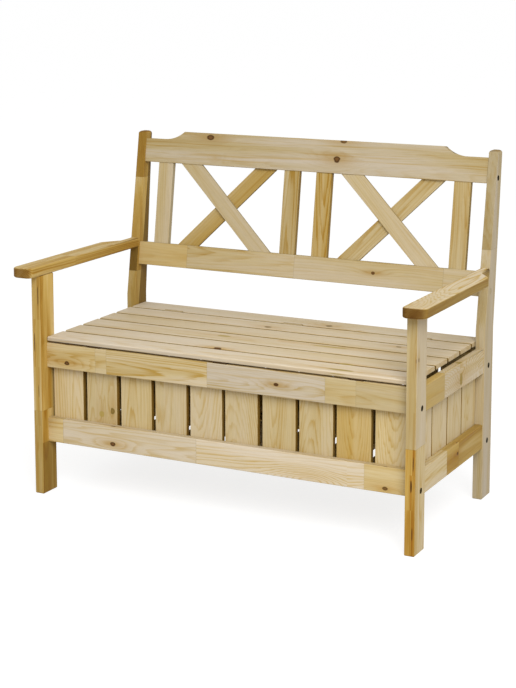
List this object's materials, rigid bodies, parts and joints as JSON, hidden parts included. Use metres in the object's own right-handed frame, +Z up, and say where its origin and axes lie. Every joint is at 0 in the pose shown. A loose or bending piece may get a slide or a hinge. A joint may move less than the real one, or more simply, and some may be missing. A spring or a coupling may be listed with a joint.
{
  "type": "garden storage bench",
  "caption": "Pine garden bench: slatted seat hinged as the lid of a boarded storage box, flat armrests, and a leaning back with crossed braces under a crowned top rail.",
  "frame": {"origin": "on the ground under the middle of the bench's outer box", "axes": "+X along the bench to the right as seen from the front, +Y from the front to the back, +Z up"},
  "size_m": [1.236, 0.6706, 0.9869],
  "materials": {
    "pine": "planed and sanded, knotty, no paint",
    "beech": "turned dowel",
    "bolt_steel": "black oxide",
    "zinc_steel": "bright zinc",
    "pad_rubber": "matte"
  },
  "bodies": {
    "frame": {"armrest_left": "pine", "armrest_right": "pine", "back_brace_left_front": "pine", "back_brace_left_rear": "pine", "back_brace_right_front": "pine", "back_brace_right_rear": "pine", "back_mid_rail": "pine", "back_top_rail": "pine", "back_upright_1": "pine", "back_upright_2": "pine", "back_upright_3": "pine", "back_upright_4": "pine", "barrel_nuts": "zinc_steel", "dowels": "beech", "floor_batten_front": "pine", "floor_batten_rear": "pine", "floor_boards": "pine", "frame_bolts": "bolt_steel", "front_board_1": "pine", "front_board_10": "pine", "front_board_2": "pine", "front_board_3": "pine", "front_board_4": "pine", "front_board_5": "pine", "front_board_6": "pine", "front_board_7": "pine", "front_board_8": "pine", "front_board_9": "pine", "front_leg_left": "pine", "front_leg_right": "pine", "front_lower_rail": "pine", "front_upper_rail": "pine", "hinge_leaves_frame": "zinc_steel", "hinge_pins": "zinc_steel", "rear_boards": "pine", "rear_leg_left": "pine", "rear_leg_right": "pine", "rear_lower_rail": "pine", "rear_upper_rail": "pine", "seat_pads": "pad_rubber", "seat_slat_rear": "pine", "side_boards_left": "pine", "side_boards_right": "pine", "side_lower_rail_left": "pine", "side_lower_rail_right": "pine", "side_upper_rail_left": "pine", "side_upper_rail_right": "pine"},
    "lid": {"hinge_leaves_lid": "zinc_steel", "lid_batten_left": "pine", "lid_batten_middle": "pine", "lid_batten_right": "pine", "lid_screws": "zinc_steel", "seat_slat_1": "pine", "seat_slat_2": "pine", "seat_slat_3": "pine", "seat_slat_4": "pine", "seat_slat_5": "pine"}
  },
  "joints": [
    {"name": "lid_hinge", "type": "hinge", "parent": "frame", "child": "lid", "pos_m": [0, 0.19753, 0.4525], "axis": [-1, 0, 0], "range_deg": [0, 100]}
  ]
}
